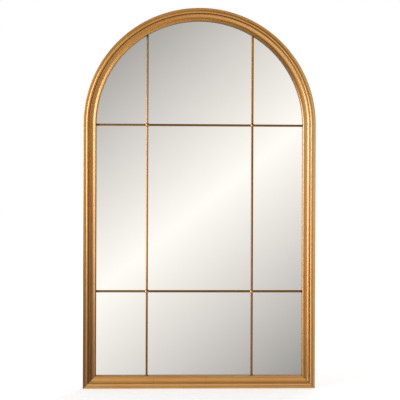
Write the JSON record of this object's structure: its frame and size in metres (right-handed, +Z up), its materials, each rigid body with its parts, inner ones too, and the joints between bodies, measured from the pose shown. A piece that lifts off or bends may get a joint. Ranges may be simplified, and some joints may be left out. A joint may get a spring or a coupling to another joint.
{
  "type": "arched wall mirror",
  "caption": "Tall arched wall mirror in a gilded moulded frame, divided like a window by slim round bars with a bead at each crossing, with swivel buttons and D-rings on the back.",
  "frame": {"origin": "middle of the bottom edge, half way between the front of the bead and the wall plane", "axes": "+Z up, +Y from the front towards the wall, +X to the right seen from the front"},
  "size_m": [0.7174, 0.032, 1.1749],
  "materials": {
    "gilt_frame": "antique gold leaf over moulded wood, rubbed to show a little red-brown ground",
    "gilt_bars": "gold paint on steel rod, darkened",
    "mirror_glass": "silvered float glass",
    "backing_board": "raw hardboard",
    "beech": "raw beech",
    "zinc_steel": "zinc plated",
    "rubber": "matte"
  },
  "bodies": {
    "frame": {"arch_head": "gilt_frame", "left_stile": "gilt_frame", "right_stile": "gilt_frame", "bottom_rail": "gilt_frame", "joint_dowels": "beech", "mitre_key_left": "beech", "mitre_key_right": "beech", "mirror_pane": "mirror_glass", "backing_panel": "backing_board", "setting_blocks": "rubber", "vertical_bar_left": "gilt_bars", "vertical_bar_right": "gilt_bars", "upper_bar_left": "gilt_bars", "upper_bar_middle": "gilt_bars", "upper_bar_right": "gilt_bars", "lower_bar_left": "gilt_bars", "lower_bar_middle": "gilt_bars", "lower_bar_right": "gilt_bars", "crossing_bead_upper_left": "gilt_bars", "crossing_bead_upper_right": "gilt_bars", "crossing_bead_lower_left": "gilt_bars", "crossing_bead_lower_right": "gilt_bars", "turn_button_screws": "zinc_steel", "hanger_strap_left": "zinc_steel", "hanger_strap_right": "zinc_steel", "hanger_screws": "zinc_steel", "wall_bumper_lower_left": "rubber", "wall_bumper_lower_right": "rubber", "wall_bumper_upper_left": "rubber", "wall_bumper_upper_right": "rubber"},
    "turn_button_arch_left": {"turn_button_arch_left": "zinc_steel"},
    "turn_button_arch_right": {"turn_button_arch_right": "zinc_steel"},
    "turn_button_arch_top": {"turn_button_arch_top": "zinc_steel"},
    "turn_button_bottom_left": {"turn_button_bottom_left": "zinc_steel"},
    "turn_button_bottom_right": {"turn_button_bottom_right": "zinc_steel"},
    "turn_button_left_lower": {"turn_button_left_lower": "zinc_steel"},
    "turn_button_left_upper": {"turn_button_left_upper": "zinc_steel"},
    "turn_button_right_lower": {"turn_button_right_lower": "zinc_steel"},
    "turn_button_right_upper": {"turn_button_right_upper": "zinc_steel"},
    "hanger_ring_left": {"hanger_ring_left": "zinc_steel"},
    "hanger_ring_right": {"hanger_ring_right": "zinc_steel"}
  },
  "joints": [
    {"name": "turn_button_arch_left_swivel", "type": "hinge", "parent": "frame", "child": "turn_button_arch_left", "pos_m": [-0.26536, 0.01, 1.02357], "axis": [0, 1, 0], "continuous": true},
    {"name": "turn_button_arch_right_swivel", "type": "hinge", "parent": "frame", "child": "turn_button_arch_right", "pos_m": [0.26536, 0.01, 1.02357], "axis": [0, 1, 0], "continuous": true},
    {"name": "turn_button_arch_top_swivel", "type": "hinge", "parent": "frame", "child": "turn_button_arch_top", "pos_m": [0, 0.01, 1.153], "axis": [0, 1, 0], "continuous": true},
    {"name": "turn_button_bottom_left_swivel", "type": "hinge", "parent": "frame", "child": "turn_button_bottom_left", "pos_m": [-0.19, 0.01, 0.022], "axis": [0, 1, 0], "continuous": true},
    {"name": "turn_button_bottom_right_swivel", "type": "hinge", "parent": "frame", "child": "turn_button_bottom_right", "pos_m": [0.19, 0.01, 0.022], "axis": [0, 1, 0], "continuous": true},
    {"name": "turn_button_left_lower_swivel", "type": "hinge", "parent": "frame", "child": "turn_button_left_lower", "pos_m": [-0.33675, 0.01, 0.23], "axis": [0, 1, 0], "continuous": true},
    {"name": "turn_button_left_upper_swivel", "type": "hinge", "parent": "frame", "child": "turn_button_left_upper", "pos_m": [-0.33675, 0.01, 0.56], "axis": [0, 1, 0], "continuous": true},
    {"name": "turn_button_right_lower_swivel", "type": "hinge", "parent": "frame", "child": "turn_button_right_lower", "pos_m": [0.33675, 0.01, 0.23], "axis": [0, 1, 0], "continuous": true},
    {"name": "turn_button_right_upper_swivel", "type": "hinge", "parent": "frame", "child": "turn_button_right_upper", "pos_m": [0.33675, 0.01, 0.56], "axis": [0, 1, 0], "continuous": true},
    {"name": "hanger_ring_left_swing", "type": "hinge", "parent": "frame", "child": "hanger_ring_left", "pos_m": [-0.34375, 0.01285, 0.725], "axis": [-1, 0, 0], "range_deg": [0, 180]},
    {"name": "hanger_ring_right_swing", "type": "hinge", "parent": "frame", "child": "hanger_ring_right", "pos_m": [0.34375, 0.01285, 0.725], "axis": [-1, 0, 0], "range_deg": [0, 180]}
  ]
}
